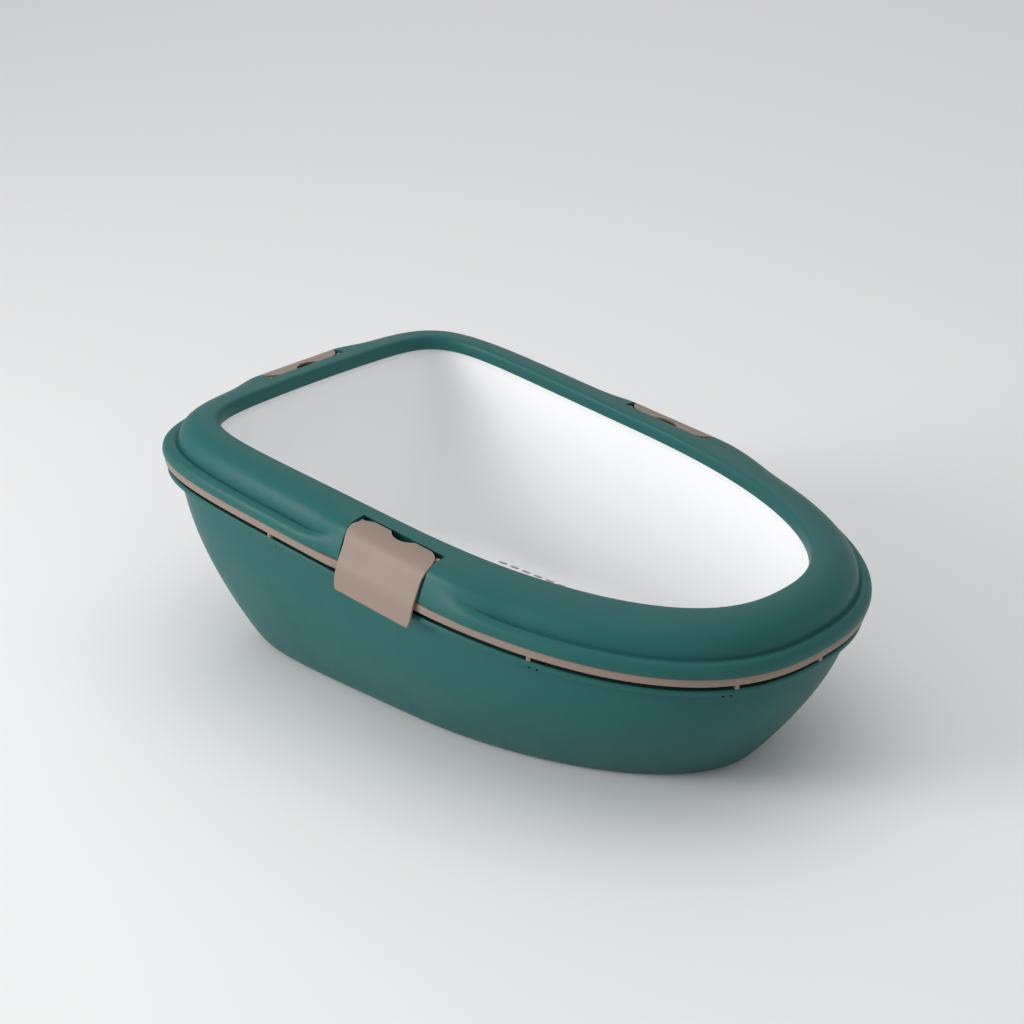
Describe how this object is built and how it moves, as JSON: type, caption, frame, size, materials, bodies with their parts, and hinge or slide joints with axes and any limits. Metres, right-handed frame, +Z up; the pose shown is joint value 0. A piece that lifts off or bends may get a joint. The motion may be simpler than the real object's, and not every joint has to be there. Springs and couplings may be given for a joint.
{
  "type": "sifting cat litter box",
  "caption": "Open boat-shaped cat litter box: nested base, reserve and slotted sifting trays under a rounded splash rim held by hinged side clips.",
  "frame": {"origin": "on the ground under the middle of the box's bounding box", "axes": "+Z up; -Y towards the low, rounded entry end; +Y towards the high, squarer end with the back clip; +X to the right seen from the entry end"},
  "size_m": [0.3828, 0.5965, 0.2114],
  "materials": {
    "teal_plastic": "satin",
    "taupe_plastic": "satin",
    "white_plastic": "semi-gloss"
  },
  "bodies": {
    "base": {"base_tray": "teal_plastic"},
    "reserve": {"reserve_tray": "taupe_plastic"},
    "sieve": {"sieve_tray": "white_plastic"},
    "rim": {"rim": "teal_plastic"},
    "clip_left": {"clip_left": "taupe_plastic"},
    "clip_right": {"clip_right": "taupe_plastic"},
    "clip_back": {"clip_back": "taupe_plastic"}
  },
  "joints": [
    {"name": "reserve_lift", "type": "slide", "parent": "base", "child": "reserve", "axis": [0, 0, 1], "range_m": [0, 0.22]},
    {"name": "sieve_lift", "type": "slide", "parent": "reserve", "child": "sieve", "axis": [0, 0, 1], "range_m": [0, 0.22]},
    {"name": "rim_lift", "type": "slide", "parent": "sieve", "child": "rim", "axis": [0, 0, 1], "range_m": [0, 0.12]},
    {"name": "clip_left_hinge", "type": "hinge", "parent": "rim", "child": "clip_left", "pos_m": [-0.162, -0.01249, 0.1789], "axis": [0, 0.9952, 0.0976], "range_deg": [0, 90]},
    {"name": "clip_right_hinge", "type": "hinge", "parent": "rim", "child": "clip_right", "pos_m": [0.162, -0.01249, 0.1789], "axis": [0, -0.9952, -0.0976], "range_deg": [0, 90]},
    {"name": "clip_back_hinge", "type": "hinge", "parent": "rim", "child": "clip_back", "pos_m": [0, 0.26448, 0.20606], "axis": [1, 0, 0], "range_deg": [0, 90]}
  ]
}
